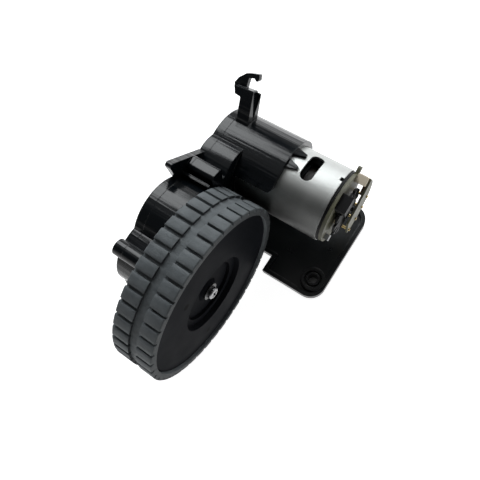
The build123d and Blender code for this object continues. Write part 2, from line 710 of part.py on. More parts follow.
def screw_bosses(y_from, y_to):
    """Case-screw bosses: a turned block at the top, the others round, and a thin rib."""
    outline = RectangleRounded(SCREW_BLOCK_WIDTH, SCREW_BLOCK_HEIGHT, SCREW_BLOCK_ROUNDING)
    body = along_y(Pos(*SCREW_BLOCK) * (Rot(0, 0, SCREW_BLOCK_ANGLE) * outline), y_from, y_to)
    for centre in CASE_SCREWS[1:]:
        body += rod(centre, SCREW_BOSS_R, y_from, y_to)
    rib_low = GEAR_2[1] + LOBE_2_R - GEARBOX_WALL
    return body + block(RIB_X, RIB_X + RIB_THICKNESS, y_from, y_to, rib_low, MOTOR[1] + RIB_RISE)


def make_sleeve():
    """Half-open sleeve round the motor, with rounded corners on its upper free edge."""
    sleeve = along_y(
        sector(MOTOR, MOTOR_POCKET_R, SLEEVE_R, SLEEVE_LOW_ANGLE, SLEEVE_TOP_ANGLE),
        SLEEVE_END_Y,
        GEARBOX_FRONT_Y + FRONT_WALL / 2,
    )
    corners = [
        edge
        for edge in sleeve.edges().filter_by(GeomType.LINE)
        if abs(edge.center().Y - SLEEVE_END_Y) < 0.01
    ]
    return fillet(corners, SLEEVE_CORNER_R)


def make_fingers():
    """Tapered fingers that reach from the sleeve's end along the motor can."""
    ring = tube(MOTOR, MOTOR_POCKET_R + FINGER_THICKNESS, MOTOR_POCKET_R,
                SLEEVE_END_Y - FINGER_LENGTH, SLEEVE_END_Y + FINGER_LENGTH)
    fingers = []
    for angle in FINGER_ANGLES:
        outline = Polygon(
            (-FINGER_ROOT / 2, SLEEVE_END_Y + FINGER_OVERLAP),
            (-FINGER_TIP / 2, SLEEVE_END_Y - FINGER_LENGTH),
            (FINGER_TIP / 2, SLEEVE_END_Y - FINGER_LENGTH),
            (FINGER_ROOT / 2, SLEEVE_END_Y + FINGER_OVERLAP),
            align=None,
        )
        out = (cos(radians(angle)), 0, sin(radians(angle)))
        across = (-sin(radians(angle)), 0, cos(radians(angle)))
        plane = Plane(origin=(MOTOR[0], 0, MOTOR[1]), x_dir=across, z_dir=out)
        flip = -1 if plane.y_dir.Y < 0 else 1
        face = outline if flip > 0 else mirror(outline, Plane.XZ)
        fingers.append(extrude(plane * face, 2 * MOTOR_R) & ring)
    return fingers


def hook_slab(outline, face, thickness):
    """Slab with an outline in (distance along the hook, Y) and its upper face at an offset."""
    slope = radians(HOOK_ANGLE)
    normal = (-sin(slope), 0, cos(slope))
    origin = (MOTOR[0] + face * normal[0], 0, MOTOR[1] + face * normal[2])
    plane = Plane(origin=origin, x_dir=(cos(slope), 0, sin(slope)), z_dir=normal)
    shape = Polygon(*outline, align=None)
    return extrude(plane * fillet(shape.vertices(), HOOK_ROUNDING), -thickness)


def make_hook():
    """Spring hook: a post with a cross bar, a thinner claw and a gusset behind the post."""
    body = hook_slab(HOOK_BAR_OUTLINE, HOOK_BAR_FACE, HOOK_BAR_THICKNESS)
    body += hook_slab(HOOK_CLAW_OUTLINE, HOOK_CLAW_FACE, HOOK_CLAW_THICKNESS)
    gusset = Rot(0, 0, HOOK_ANGLE) * Polygon(*GUSSET_OUTLINE, align=None)
    return body + along_y(Pos(*MOTOR) * gusset, GUSSET_FROM_Y, GUSSET_TO_Y)


def motor_screw_places():
    return [step(MOTOR, FIRST_STAGE_ANGLE + turn, MOTOR_SCREW_SPREAD) for turn in (-90, 90)]


def make_gearbox_housing():
    body = lobe_blanks(0, GEARBOX_FRONT_Y, SEAM_Y, 0)
    body += screw_bosses(GEARBOX_FRONT_Y, SEAM_Y)
    body += make_sleeve()
    for finger in make_fingers():
        body += finger
    body += make_hook()
    body -= lobe_blanks(GEARBOX_WALL, CAVITY_FRONT_Y, SEAM_Y, 0)
    body += housing_axle_bosses()
    body += tube(WHEEL, OUTPUT_BUSH_R + GEARBOX_WALL, OUTPUT_BUSH_R, GEARBOX_FRONT_Y, CAVITY_FRONT_Y)
    front_cut = (GEARBOX_FRONT_Y - CUT_PAST, CAVITY_FRONT_Y + CUT_PAST)
    body -= rod(WHEEL, OUTPUT_BUSH_R, *front_cut)
    body -= rod(MOTOR, CAN_BOSS_R, *front_cut)
    for place in motor_screw_places():
        body -= rod(place, MOTOR_SCREW_R, *front_cut)
    for place in axle_places():
        body -= rod(place, AXLE_R, AXLE_FROM_Y, SEAM_Y)
    for place in CASE_SCREWS:
        body -= rod(place, CASE_SCREW_R, SEAM_Y - CASE_SCREW_GRIP, SEAM_Y + CUT_PAST)
    return body


def axle_places():
    return (GEAR_1, GEAR_2, GEAR_3)


def housing_axle_bosses():
    """Short collars that the gears run against."""
    y_from = CAVITY_FRONT_Y - COLLAR_CLEARANCE
    ends = (FRONT_LAYER_Y, MIDDLE_LAYER_Y, FRONT_LAYER_Y)
    collars = [
        tube(place, AXLE_COLLAR_R, AXLE_R, y_from, y_to - COLLAR_CLEARANCE)
        for place, y_to in zip(axle_places(), ends)
    ]
    return collars[0] + collars[1] + collars[2]


def make_ear():
    """Flat ear standing between two lobes at the back of the cover."""
    outline = Polygon(
        (EAR_ROOT_X, MOTOR[1] + EAR_ROOT_RISE),
        (EAR_TIP_X, MOTOR[1] + EAR_RISE),
        (EAR_TIP_X, GEAR_2[1]),
        (EAR_ROOT_X, GEAR_2[1]),
        align=None,
    )
    tip = outline.vertices().sort_by(Axis.Y)[-1]
    return along_y(fillet(tip, EAR_TIP_R), GEARBOX_REAR_Y - EAR_THICKNESS, GEARBOX_REAR_Y)


def make_gearbox_cover():
    body = lobe_blanks(0, SEAM_Y, GEARBOX_REAR_Y, REAR_ROUNDING)
    body += screw_bosses(SEAM_Y, GEARBOX_REAR_Y)
    body += make_ear()
    body -= lobe_blanks(GEARBOX_WALL, SEAM_Y, CAVITY_REAR_Y, 0)
    body += rod(MOTOR, PIVOT_BOSS_R, GEARBOX_REAR_Y - PIVOT_DEPTH - REAR_WALL, CAVITY_REAR_Y)
    bulge = rod(WHEEL, OUTPUT_BULGE_R, CAVITY_REAR_Y, GEARBOX_REAR_Y + OUTPUT_BULGE)
    body += fillet(bulge.edges().group_by(Axis.Y)[-1], REAR_ROUNDING)
    body -= rod(WHEEL, OUTPUT_BUSH_R, CAVITY_REAR_Y - CUT_PAST, CAVITY_REAR_Y + REAR_BUSH_LENGTH)
    ends = (MIDDLE_GEARS_Y[1], REAR_LAYER_END_Y, REAR_LAYER_END_Y)
    for place, y_from in zip(axle_places(), ends):
        body += rod(place, AXLE_COLLAR_R, y_from + COLLAR_CLEARANCE, CAVITY_REAR_Y)
    rear_past = GEARBOX_REAR_Y + CUT_PAST
    body -= rod(MOTOR, PIVOT_PIN_R + RUNNING_CLEARANCE, GEARBOX_REAR_Y - PIVOT_DEPTH, rear_past)
    for place in axle_places():
        body -= rod(place, AXLE_R, MIDDLE_LAYER_Y, AXLE_TO_Y)
    for place in CASE_SCREWS:
        body -= rod(place, CASE_SCREW_R, SEAM_Y - CUT_PAST, rear_past)
        body -= rod(place, CASE_SCREW_HEAD_R, GEARBOX_REAR_Y - CASE_SCREW_HEAD, rear_past)
    return body


def make_case_screws():
    body = None
    under_head = GEARBOX_REAR_Y - CASE_SCREW_HEAD
    length = under_head - SEAM_Y + CASE_SCREW_GRIP - CASE_SCREW_END_GAP
    for place in CASE_SCREWS:
        screw = pan_screw(place, CASE_SCREW_R, CASE_SCREW_HEAD_R, CASE_SCREW_HEAD, length, under_head, -1)
        body = screw if body is None else body + screw
    return body


def make_arm_fittings():
    front_bush = tube(WHEEL, OUTPUT_BUSH_R, BUSH_BORE_R, GEARBOX_FRONT_Y, CAVITY_FRONT_Y)
    flange_y = GEARBOX_FRONT_Y - OUTPUT_FLANGE
    front_bush += tube(WHEEL, OUTPUT_BUSH_R + OUTPUT_FLANGE_RIM, BUSH_BORE_R, flange_y, GEARBOX_FRONT_Y)
    rear_bush = tube(WHEEL, OUTPUT_BUSH_R, BUSH_BORE_R, CAVITY_REAR_Y, CAVITY_REAR_Y + REAR_BUSH_LENGTH)
    parts = {
        "gearbox_housing": (make_gearbox_housing(), (0.06, 0.06, 0.07)),
        "gearbox_cover": (make_gearbox_cover(), (0.07, 0.07, 0.08)),
        "case_screws": (make_case_screws(), (0.70, 0.70, 0.72)),
        "front_output_bush": (front_bush, (0.72, 0.55, 0.35)),
        "rear_output_bush": (rear_bush, (0.72, 0.55, 0.35)),
    }
    for name, place in zip(("first_axle", "second_axle", "third_axle"), axle_places()):
        parts[name] = (rod(place, AXLE_R, AXLE_FROM_Y, AXLE_TO_Y), (0.75, 0.75, 0.77))
    return parts


# Motor


def make_can():
    can = rod(MOTOR, MOTOR_R, CAN_END_Y, CAN_FRONT_Y)
    can -= rod(MOTOR, MOTOR_R - CAN_WALL, CAN_END_Y - CUT_PAST, CAN_FRONT_Y - CAN_WALL)
    can = fillet(can.edges().group_by(Axis.Y)[-1], CAN_ROUNDING)
    can += rod(MOTOR, CAN_BOSS_R, CAN_FRONT_Y - CAN_WALL, CAN_FRONT_Y + CAN_BOSS_LENGTH)
    boss_end = CAN_FRONT_Y + CAN_BOSS_LENGTH
    can -= rod(MOTOR, BEARING_R, boss_end - BEARING_LENGTH, boss_end + CUT_PAST)
    outer_r = MOTOR_R + CUT_PAST
    half = CAN_SLOT_WIDTH / 2
    inner_r = MOTOR_R - 2 * CAN_WALL
    for turn in (0, 180):
        slot = sector(MOTOR, inner_r, outer_r, CAN_SLOT_FROM_ANGLE + turn, CAN_SLOT_TO_ANGLE + turn)
        window = along_y(slot, CAN_SLOT_Y - half, CAN_SLOT_Y + half)
        straight = window.edges().filter_by(GeomType.LINE)
        corners = [edge for edge in straight if abs(edge.length - outer_r + inner_r) < 0.01]
        can -= fillet(corners, CAN_SLOT_WIDTH * CAN_SLOT_ROUNDING_SHARE)
    for angle in CRIMP_ANGLES:
        notch = spoke(MOTOR, angle, inner_r, outer_r, CRIMP_WIDTH)
        can -= along_y(notch, CAN_END_Y - CUT_PAST, CAN_END_Y + CRIMP_DEPTH)
    for place in motor_screw_places():
        can -= rod(place, MOTOR_SCREW_R, CAN_FRONT_Y - 2 * CAN_WALL, CAN_FRONT_Y + CUT_PAST)
    return can


def make_magnets():
    outer = MOTOR_R - CAN_WALL
    half = MAGNET_SPREAD_ANGLE / 2
    y_from = CAN_MIDDLE_Y - MAGNET_LENGTH / 2
    arcs = [
        along_y(sector(MOTOR, outer - MAGNET_THICKNESS, outer, angle - half, angle + half),
                y_from, y_from + MAGNET_LENGTH)
        for angle in MAGNET_ANGLES
    ]
    return arcs[0] + arcs[1]


def slot_angles():
    return [90 + (n + 0.5) * 360 / CORE_POLES for n in range(CORE_POLES)]


def winding_pockets():
    half = WINDING_HALF_ANGLE
    outer_r = CORE_R - CORE_TIP
    return [sector((0, 0), CORE_NECK_R, outer_r, angle - half, angle + half) for angle in slot_angles()]


def core_slots():
    """Winding slots between the poles: a wide pocket and a narrow mouth."""
    inner_r = CORE_R - CORE_TIP - AIR_GAP / 2
    mouths = [spoke((0, 0), angle, inner_r, CORE_R + CUT_PAST, CORE_MOUTH) for angle in slot_angles()]
    return Sketch() + (winding_pockets() + mouths)


def make_core():
    face = Circle(CORE_R) - core_slots() - Circle(MOTOR_SHAFT_R)
    return along_y(Pos(*MOTOR) * face, CORE_FROM_Y, CORE_TO_Y)


def make_windings():
    """Copper in the slots, joined by the turns that overhang each end of the core."""
    body = along_y(Pos(*MOTOR) * (Sketch() + winding_pockets()), CORE_FROM_Y, CORE_TO_Y)
    bore = MOTOR_SHAFT_R + WINDING_BORE_GAP
    for y_from in (CORE_FROM_Y - WINDING_OVERHANG, CORE_TO_Y):
        body += tube(MOTOR, CORE_R - CORE_TIP, bore, y_from, y_from + WINDING_OVERHANG)
    return body


def make_commutator():
    y_to = CORE_FROM_Y - COMMUTATOR_GAP
    y_from = y_to - COMMUTATOR_LENGTH
    body = tube(MOTOR, COMMUTATOR_R, MOTOR_SHAFT_R, y_from, y_to)
    low_r = COMMUTATOR_R - COMMUTATOR_CUT_DEPTH
    cuts = Sketch() + [
        spoke(MOTOR, 90 + n * 360 / CORE_POLES, low_r, COMMUTATOR_R + CUT_PAST, COMMUTATOR_CUT_WIDTH)
        for n in range(CORE_POLES)
    ]
    return body - along_y(cuts, y_from, y_to)


def make_encoder_wheel():
    y_to = ENCODER_WHEEL_Y + ENCODER_WHEEL_THICKNESS
    body = tube(MOTOR, ENCODER_WHEEL_R, MOTOR_SHAFT_R, ENCODER_WHEEL_Y, y_to)
    low_r = ENCODER_WHEEL_R - ENCODER_SLOT_DEPTH
    cuts = Sketch() + [
        spoke(MOTOR, n * 360 / ENCODER_SLOTS, low_r, ENCODER_WHEEL_R + CUT_PAST, ENCODER_SLOT_WIDTH)
        for n in range(ENCODER_SLOTS)
    ]
    body -= along_y(cuts, ENCODER_WHEEL_Y - CUT_PAST, y_to + CUT_PAST)
    hub_end = (BOARD_FRONT_Y + BOARD_REAR_Y) / 2
    return body + tube(MOTOR, ENCODER_WHEEL_HUB_R, MOTOR_SHAFT_R, y_to, hub_end)


def make_end_cap():
    inner_r = MOTOR_R - CAN_WALL
    seat_y = CAP_REAR_Y + BEARING_LENGTH
    cap = rod(MOTOR, MOTOR_R - END_CAP_SETBACK, CAP_REAR_Y, CAN_END_Y)
    cap += tube(MOTOR, inner_r, inner_r - END_CAP_SKIRT, CAN_END_Y, CAN_END_Y + END_CAP_DEPTH)
    cap += rod(MOTOR, BEARING_R + BEARING_SEAT_WALL, CAN_END_Y, seat_y)
    return cap - rod(MOTOR, BEARING_R, CAP_REAR_Y - CUT_PAST, seat_y + CUT_PAST)


def make_brushes():
    """Two carbon brushes in line with the commutator, on stems from the end cap."""
    y_to = CORE_FROM_Y - BRUSH_SETBACK
    y_from = y_to - BRUSH_HEIGHT
    outer_r = COMMUTATOR_R + BRUSH_LENGTH
    brushes = []
    for angle in BRUSH_ANGLES:
        brush = along_y(spoke(MOTOR, angle, COMMUTATOR_R + BRUSH_GAP, outer_r, BRUSH_WIDTH), y_from, y_to)
        stem = spoke(MOTOR, angle, outer_r - BRUSH_STEM, outer_r, BRUSH_STEM)
        brushes.append(brush + along_y(stem, CAN_END_Y, y_from))
    return brushes[0] + brushes[1]


def make_motor_parts():
    front_y = CAN_FRONT_Y + CAN_BOSS_LENGTH
    bearing_bore = MOTOR_SHAFT_R + RUNNING_CLEARANCE
    screws = None
    for place in motor_screw_places():
        screw = pan_screw(place, MOTOR_SCREW_R, MOTOR_SCREW_HEAD_R, MOTOR_SCREW_HEAD,
                          FRONT_WALL + CAN_WALL + MOTOR_SCREW_TIP, CAVITY_FRONT_Y, -1)
        screws = screw if screws is None else screws + screw
    arm = {
        "motor_can": (make_can(), (0.72, 0.73, 0.74)),
        "motor_magnets": (make_magnets(), (0.22, 0.22, 0.23)),
        "motor_end_cap": (make_end_cap(), (0.05, 0.05, 0.05)),
        "motor_brushes": (make_brushes(), (0.15, 0.15, 0.15)),
        "front_motor_bearing": (tube(MOTOR, BEARING_R, bearing_bore, front_y - BEARING_LENGTH, front_y),
                                (0.72, 0.55, 0.35)),
        "rear_motor_bearing": (tube(MOTOR, BEARING_R, bearing_bore, CAP_REAR_Y, CAP_REAR_Y + BEARING_LENGTH),
                               (0.72, 0.55, 0.35)),
        "motor_screws": (screws, (0.72, 0.72, 0.74)),
    }
    shaft = rod(MOTOR, MOTOR_SHAFT_R, MOTOR_SHAFT_REAR_Y, MOTOR_SHAFT_FRONT_Y)
    rotor = {
        "motor_shaft": (shaft, (0.75, 0.75, 0.77)),
        "armature_core": (make_core(), (0.45, 0.45, 0.47)),
        "armature_windings": (make_windings(), (0.70, 0.35, 0.15)),
        "commutator": (make_commutator(), (0.75, 0.45, 0.25)),
        "motor_pinion": (gear(MOTOR, MOTOR_PINION_TEETH, FIRST_MODULE, MOTOR_PINION_PHASE, MOTOR_SHAFT_R,
                              *FRONT_GEARS_Y), (0.78, 0.66, 0.35)),
        "encoder_wheel": (make_encoder_wheel(), (0.04, 0.04, 0.04)),
    }
    return arm, rotor


# Boards


def board_pins():
    """Posts that carry the outer board on the inner one, clear of the encoder wheel."""
    body = None
    for place in board_pin_places():
        pin = rod(place, BOARD_PIN_R, ENCODER_BOARD_END_Y - BOARD_PIN_PROUD, BOARD_REAR_Y)
        body = pin if body is None else body + pin
    return body


def board_pin_places():
    return [step(MOTOR, angle, ENCODER_BOARD_R - BOARD_PIN_SETBACK) for angle in BOARD_PIN_ANGLES]


def make_motor_board():
    """Inner board: a disc with a rounded tab that reaches past the can."""
    board_r = MOTOR_R - BOARD_SETBACK
    tab_end = MOTOR_R + BOARD_TAB_REACH - BOARD_TAB_WIDTH / 2
    tab = spoke((0, 0), BOARD_TAB_ANGLE, BOARD_BORE_R, tab_end, BOARD_TAB_WIDTH)
    tab += Pos(*step((0, 0), BOARD_TAB_ANGLE, tab_end)) * Circle(BOARD_TAB_WIDTH / 2)
    face = Circle(board_r) + tab - Circle(BOARD_BORE_R)
    return along_y(Pos(*MOTOR) * face, BOARD_REAR_Y, BOARD_FRONT_Y)


def make_encoder_board():
    """Outer board: a disc cut off straight just below the motor shaft and again at its side."""
    size = 2 * ENCODER_BOARD_R
    slope_cut = Pos(0, ENCODER_BOARD_R - ENCODER_BOARD_CUT) * Rectangle(2 * size, size)
    side_cut = Pos(-ENCODER_BOARD_SIDE - ENCODER_BOARD_R, 0) * Rectangle(size, 2 * size)
    face = Circle(ENCODER_BOARD_R) - Rot(0, 0, ENCODER_BOARD_ANGLE) * slope_cut - side_cut
    board = along_y(Pos(*MOTOR) * face, ENCODER_BOARD_END_Y, ENCODER_BOARD_Y)
    for place in board_pin_places():
        board -= rod(place, BOARD_PIN_R, ENCODER_BOARD_END_Y - CUT_PAST, ENCODER_BOARD_Y + CUT_PAST)
    return board


def upright(centre_angle, radius, width, height, y_from, y_to):
    """Block on a board, set square to the board's radius."""
    face = Pos(*MOTOR) * (Rot(0, 0, centre_angle) * (Pos(radius, 0) * Rectangle(height, width)))
    return along_y(face, y_from, y_to)


def make_sensor():
    """Forked sensor that the encoder wheel's rim runs through."""
    radius = ENCODER_WHEEL_R + SENSOR_SHIFT
    sensor = upright(SENSOR_ANGLE, radius, SENSOR_WIDTH, SENSOR_DEPTH, ENCODER_BOARD_Y, BOARD_REAR_Y)
    y_from = ENCODER_WHEEL_Y - BODY_GAP
    y_to = ENCODER_WHEEL_Y + ENCODER_WHEEL_THICKNESS + BODY_GAP
    return sensor - rod(MOTOR, ENCODER_WHEEL_R + BODY_GAP, y_from, y_to)


def make_connector():
    """Cable socket between the boards, open outwards, with its three pins."""
    radius = MOTOR_R - CONNECTOR_SETBACK
    wall = CONNECTOR_WALL
    socket = upright(CONNECTOR_ANGLE, radius, CONNECTOR_WIDTH, CONNECTOR_HEIGHT,
                     ENCODER_BOARD_Y, BOARD_REAR_Y)
    socket -= upright(CONNECTOR_ANGLE, radius + wall, CONNECTOR_WIDTH - 2 * wall, CONNECTOR_HEIGHT,
                      ENCODER_BOARD_Y + wall, BOARD_REAR_Y - wall)
    middle_y = (ENCODER_BOARD_Y + BOARD_REAR_Y) / 2
    half = CONNECTOR_PIN_WIDTH / 2
    length = CONNECTOR_HEIGHT - wall - CONNECTOR_PIN_SETBACK
    inner_r = radius + wall - CONNECTOR_HEIGHT / 2
    pins = []
    for offset in (-CONNECTOR_PIN_SPACING, 0, CONNECTOR_PIN_SPACING):
        bar = Pos(inner_r + length / 2, offset) * Rectangle(length, CONNECTOR_PIN_WIDTH)
        face = Pos(*MOTOR) * (Rot(0, 0, CONNECTOR_ANGLE) * bar)
        pins.append(along_y(face, middle_y - half, middle_y + half))
    return socket, pins[0] + pins[1] + pins[2]


def make_board_parts():
    socket, pins = make_connector()
    capacitor_place = step(MOTOR, CAPACITOR_ANGLE, MOTOR_R - CAPACITOR_SETBACK)
    capacitor = rod(capacitor_place, CAPACITOR_R, ENCODER_BOARD_Y, ENCODER_BOARD_Y + CAPACITOR_THICKNESS)
    chip = upright(CHIP_ANGLE, MOTOR_R - CHIP_SETBACK, CHIP_WIDTH, CHIP_DEPTH,
                   BOARD_REAR_Y - CHIP_HEIGHT, BOARD_REAR_Y)
    return {
        "motor_board": (make_motor_board(), (0.42, 0.44, 0.30)),
        "encoder_board": (make_encoder_board(), (0.50, 0.52, 0.40)),
        "board_pins": (board_pins(), (0.80, 0.74, 0.55)),
        "encoder_sensor": (make_sensor(), (0.05, 0.05, 0.05)),
        "connector_housing": (socket, (0.90, 0.87, 0.76)),
        "connector_pins": (pins, (0.80, 0.70, 0.40)),
        "capacitor": (capacitor, (0.25, 0.17, 0.10)),
        "grey_component": (chip, (0.55, 0.56, 0.58)),
    }


# Bracket


def plate_outline(inset):
    """Outline of the bracket seen from above, with the notch that clears the wheel."""
    left = PLATE_LEFT_X + inset
    right = PLATE_RIGHT_X - inset
    front = PLATE_FRONT_Y + inset
    notch_x = NOTCH_X + inset
    notch_y = NOTCH_Y - inset
    rear = PLATE_REAR_Y - inset
    outline = Polygon((left, front), (right, front), (right, rear), (notch_x, rear), (notch_x, notch_y),
                      (left, notch_y), align=None)
    round_r = PLATE_CORNER_R - inset
    front_corners = outline.vertices().sort_by(Axis.Y)[:2]
    return fillet(front_corners, round_r)


def plate_hole(x, y):
    hole = Pos(x, y, -CUT_PAST) * extrude(Circle(PLATE_HOLE_R), PLATE_BOSS_HEIGHT + 2 * CUT_PAST)
    ring = Circle(PLATE_RECESS_R) - Circle(PLATE_HOLE_R + PLATE_HOLE_RIM)
    recess = Pos(x, y, PLATE_BOSS_HEIGHT - PLATE_RECESS_DEPTH) * extrude(ring, PLATE_RECESS_DEPTH + CUT_PAST)
    return hole + recess


def make_cradle():
    """Curved saddle under the sleeve, on two upright webs."""
    running_r = SLEEVE_R + 2 * RUNNING_CLEARANCE
    outer_r = running_r + CRADLE_WALL
    saddle = along_y(sector(MOTOR, running_r, outer_r, CRADLE_LOW_ANGLE, CRADLE_HIGH_ANGLE),
                     CRADLE_FROM_Y, CRADLE_TO_Y)
    right_x = MOTOR[0] + MOTOR_R - CRADLE_WEB_SETBACK
    webs = block(MOTOR[0] - CRADLE_WEB_LEFT, right_x, CRADLE_FROM_Y, CRADLE_TO_Y,
                 FLOOR_THICKNESS, MOTOR[1] - CRADLE_WEB_TOP)
    past_from = CRADLE_FROM_Y - CUT_PAST
    past_to = CRADLE_TO_Y + CUT_PAST
    webs -= rod(MOTOR, running_r + CRADLE_WALL / 2, past_from, past_to)
    webs -= block(MOTOR[0] - CRADLE_WINDOW_LEFT, MOTOR[0] + CRADLE_WINDOW_RIGHT, past_from, past_to,
                  FLOOR_THICKNESS, MOTOR[1] - outer_r - CRADLE_WINDOW_GAP)
    return saddle + webs


def make_pivot_post():
    """Upright wall behind the gearbox that carries the pivot pin."""
    ear = Pos(*MOTOR) * Circle(PIVOT_EAR_R)
    foot = Polygon(
        (NOTCH_X + POST_LEFT_INSET, FLOOR_THICKNESS),
        (PLATE_RIGHT_X - POST_RIGHT_INSET, FLOOR_THICKNESS),
        (MOTOR[0] + PIVOT_EAR_R, MOTOR[1]),
        (MOTOR[0] - PIVOT_EAR_R, MOTOR[1]),
        align=None,
    )
    wall = along_y(ear + foot, REAR_WALL_Y, PLATE_REAR_Y)
    return wall - rod(MOTOR, PIVOT_PIN_R, REAR_WALL_Y - CUT_PAST, PLATE_REAR_Y + CUT_PAST)


def make_stop():
    """Post that the gearbox rests on when the wheel is level with the plate."""
    low = GEAR_2[1] - LOBE_2_R - BODY_GAP
    return block(NOTCH_X, STOP_RIGHT_X, STOP_FROM_Y, STOP_TO_Y, FLOOR_THICKNESS, low)


def make_bracket_parts():
    """The bracket's plate with its rim and bosses, and the three walls that stand on it."""
    plate = extrude(plate_outline(0), RIM_HEIGHT)
    plate -= Pos(0, 0, FLOOR_THICKNESS) * extrude(plate_outline(RIM_WALL), RIM_HEIGHT)
    for x, y in PLATE_HOLES:
        plate += Pos(x, y) * extrude(Circle(PLATE_BOSS_R), PLATE_BOSS_HEIGHT)
    for place in PLATE_HOLES:
        plate -= plate_hole(*place)
    walls = {
        "bracket_cradle": make_cradle(),
        "pivot_post": make_pivot_post(),
        "bracket_stop": make_stop(),
    }
    for wall in walls.values():
        plate -= wall
    colour = (0.05, 0.05, 0.06)
    parts = {"bracket": (plate, colour)}
    for node, wall in walls.items():
        parts[node] = (wall, colour)
    parts["pivot_pin"] = (make_pivot_pin(), (0.70, 0.70, 0.72))
    return parts


def make_pivot_pin():
    tip = GEARBOX_REAR_Y - PIVOT_DEPTH + BODY_GAP
    pin = rod(MOTOR, PIVOT_PIN_R, tip, PLATE_REAR_Y)
    head = rod(MOTOR, PIVOT_HEAD_R, PLATE_REAR_Y, PLATE_REAR_Y + PIVOT_HEAD)
    return pin + fillet(head.edges().group_by(Axis.Y)[-1], PIVOT_HEAD_ROUNDING)


# Assembly


def main():
    nodes = make_wheel_parts()
    nodes.update(make_arm_fittings())
    arm, rotor = make_motor_parts()
    nodes.update(arm)
    nodes.update(rotor)
    nodes.update(make_board_parts())
    first = compound_gear(
        GEAR_1,
        (FIRST_GEAR_TEETH, FIRST_MODULE, 0.0), FRONT_GEARS_Y,
        (FIRST_PINION_TEETH, FIRST_MODULE, FIRST_PINION_PHASE), MIDDLE_GEARS_Y,
    )
    second = compound_gear(
        GEAR_2,
        (SECOND_GEAR_TEETH, FIRST_MODULE, 0.0), MIDDLE_GEARS_Y,
        (SECOND_PINION_TEETH, THIRD_MODULE, SECOND_PINION_PHASE), REAR_GEARS_Y,
    )
    third = compound_gear(
        GEAR_3,
        (THIRD_GEAR_TEETH, THIRD_MODULE, 0.0), REAR_GEARS_Y,
        (THIRD_PINION_TEETH, FOURTH_MODULE, THIRD_PINION_PHASE), FRONT_GEARS_Y,
    )
    nodes["first_gear"] = (first, (0.92, 0.90, 0.84))
    nodes["second_gear"] = (second, (0.92, 0.90, 0.84))
    nodes["third_gear"] = (third, (0.92, 0.90, 0.84))
    nodes.update(make_bracket_parts())
    for node, (solid, colour) in nodes.items():
        save(solid, node, colour)
    print("motor axis", MOTOR, "wheel axis", WHEEL)
    print("gear centres", GEAR_1, GEAR_2, GEAR_3)


main()
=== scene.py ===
import math

import bpy
from mathutils import Matrix, Vector

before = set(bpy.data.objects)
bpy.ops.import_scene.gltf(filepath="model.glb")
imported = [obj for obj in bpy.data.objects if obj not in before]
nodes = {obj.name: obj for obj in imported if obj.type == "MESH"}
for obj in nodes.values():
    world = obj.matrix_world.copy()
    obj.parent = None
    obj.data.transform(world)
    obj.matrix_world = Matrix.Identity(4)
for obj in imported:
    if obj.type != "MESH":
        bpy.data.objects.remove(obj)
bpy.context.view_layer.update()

# All lengths and places are in metres

# Camera that fits the photo
CAMERA_PLACE = (-0.0567, -0.0468, 0.1936)
CAMERA_RIGHT = Vector((0.549, -0.821, -0.159))
CAMERA_UP = Vector((0.819, 0.490, 0.300))
CAMERA_LENS = 35.8
CAMERA_SENSOR = 36.0
CAMERA_CLIP_START = 0.005

# Noise in a material: the span of its values that counts, and how finely it is divided
NOISE_LOW = 0.3
NOISE_HIGH = 0.7
COLOUR_DETAIL = 6
ROUGHNESS_DETAIL = 3
RELIEF_DETAIL = 4
ROUGHNESS_SCALE_SHARE = 2
EDGE_SAMPLES = 6

# Painted shade on the sides is gone from this value of the side mask on
SIDE_SHADE_CLEAR = 0.6

# Painted shade of two small dents in the hub's face: dark up to the inner radius, clear from the outer one
# on
HUB_DENT_SHADES = [(-0.0580, 0, 0.0513), (-0.0606, 0, 0.0140)]
DENT_SHADE_DARK_R = 0.0008
DENT_SHADE_CLEAR_R = 0.0016
DENT_SHADE_SHARE = 0.05

# The can's side that faces the wheel is darkened with painted shade, by how far the surface faces along X
CAN_SHADE_SHARE = 0.26
CAN_SHADE_FULL = -0.95
CAN_SHADE_CLEAR = -0.30

# The tread's blocks get rounded edges where two faces meet at more than this angle in degrees
TREAD_JOIN_DISTANCE = 0.000002
TREAD_EDGE = 0.00028
TREAD_EDGE_SEGMENTS = 2
TREAD_EDGE_ANGLE = 40

# Glow of the surroundings by the height of the view: the horizon's up to its top, then fading to the sky's
HORIZON_GLOW = 0.9
HORIZON_TOP = 0.18
SKY_GLOW = 0.02
SKY_FROM = 0.34

# Soft lamps, all aimed at one place, with their power in watts
WHITE = (1, 1, 1)
COOL = (0.955, 0.985, 1.0)
LAMP_AIM = (-0.03, 0, 0.03)
LAMPS = {
    "key": {"place": (0.21, 0.24, 0.325), "energy": 1.5, "size": (0.24, 0.30), "colour": COOL},
    "side": {"place": (0.36, 0, 0.255), "energy": 0.6, "size": (0.20, 0.30), "colour": COOL},
    "top": {"place": (0.05, 0.10, 0.46), "energy": 0.18, "size": (0.40, 0.40), "colour": WHITE},
    "fill": {"place": (-0.30, 0.15, 0.35), "energy": 0.05, "size": (0.50, 0.50), "colour": WHITE},
}

# White floor that glows, though not at the bottom of the bracket's raised screw hole, where the missing glow
# is painted shade
FLOOR_REACH = 3.0
FLOOR_GLOW = 0.95
HOLE_PLACE = (-0.0214, -0.0221, 0)
HOLE_DARK_R = 0.004
HOLE_LIT_R = 0.006


def link_noise(tree, source, scale, detail):
    noise = tree.nodes.new("ShaderNodeTexNoise")
    noise.inputs["Scale"].default_value = scale
    noise.inputs["Detail"].default_value = detail
    tree.links.new(source, noise.inputs["Vector"])
    return noise.outputs["Fac"]


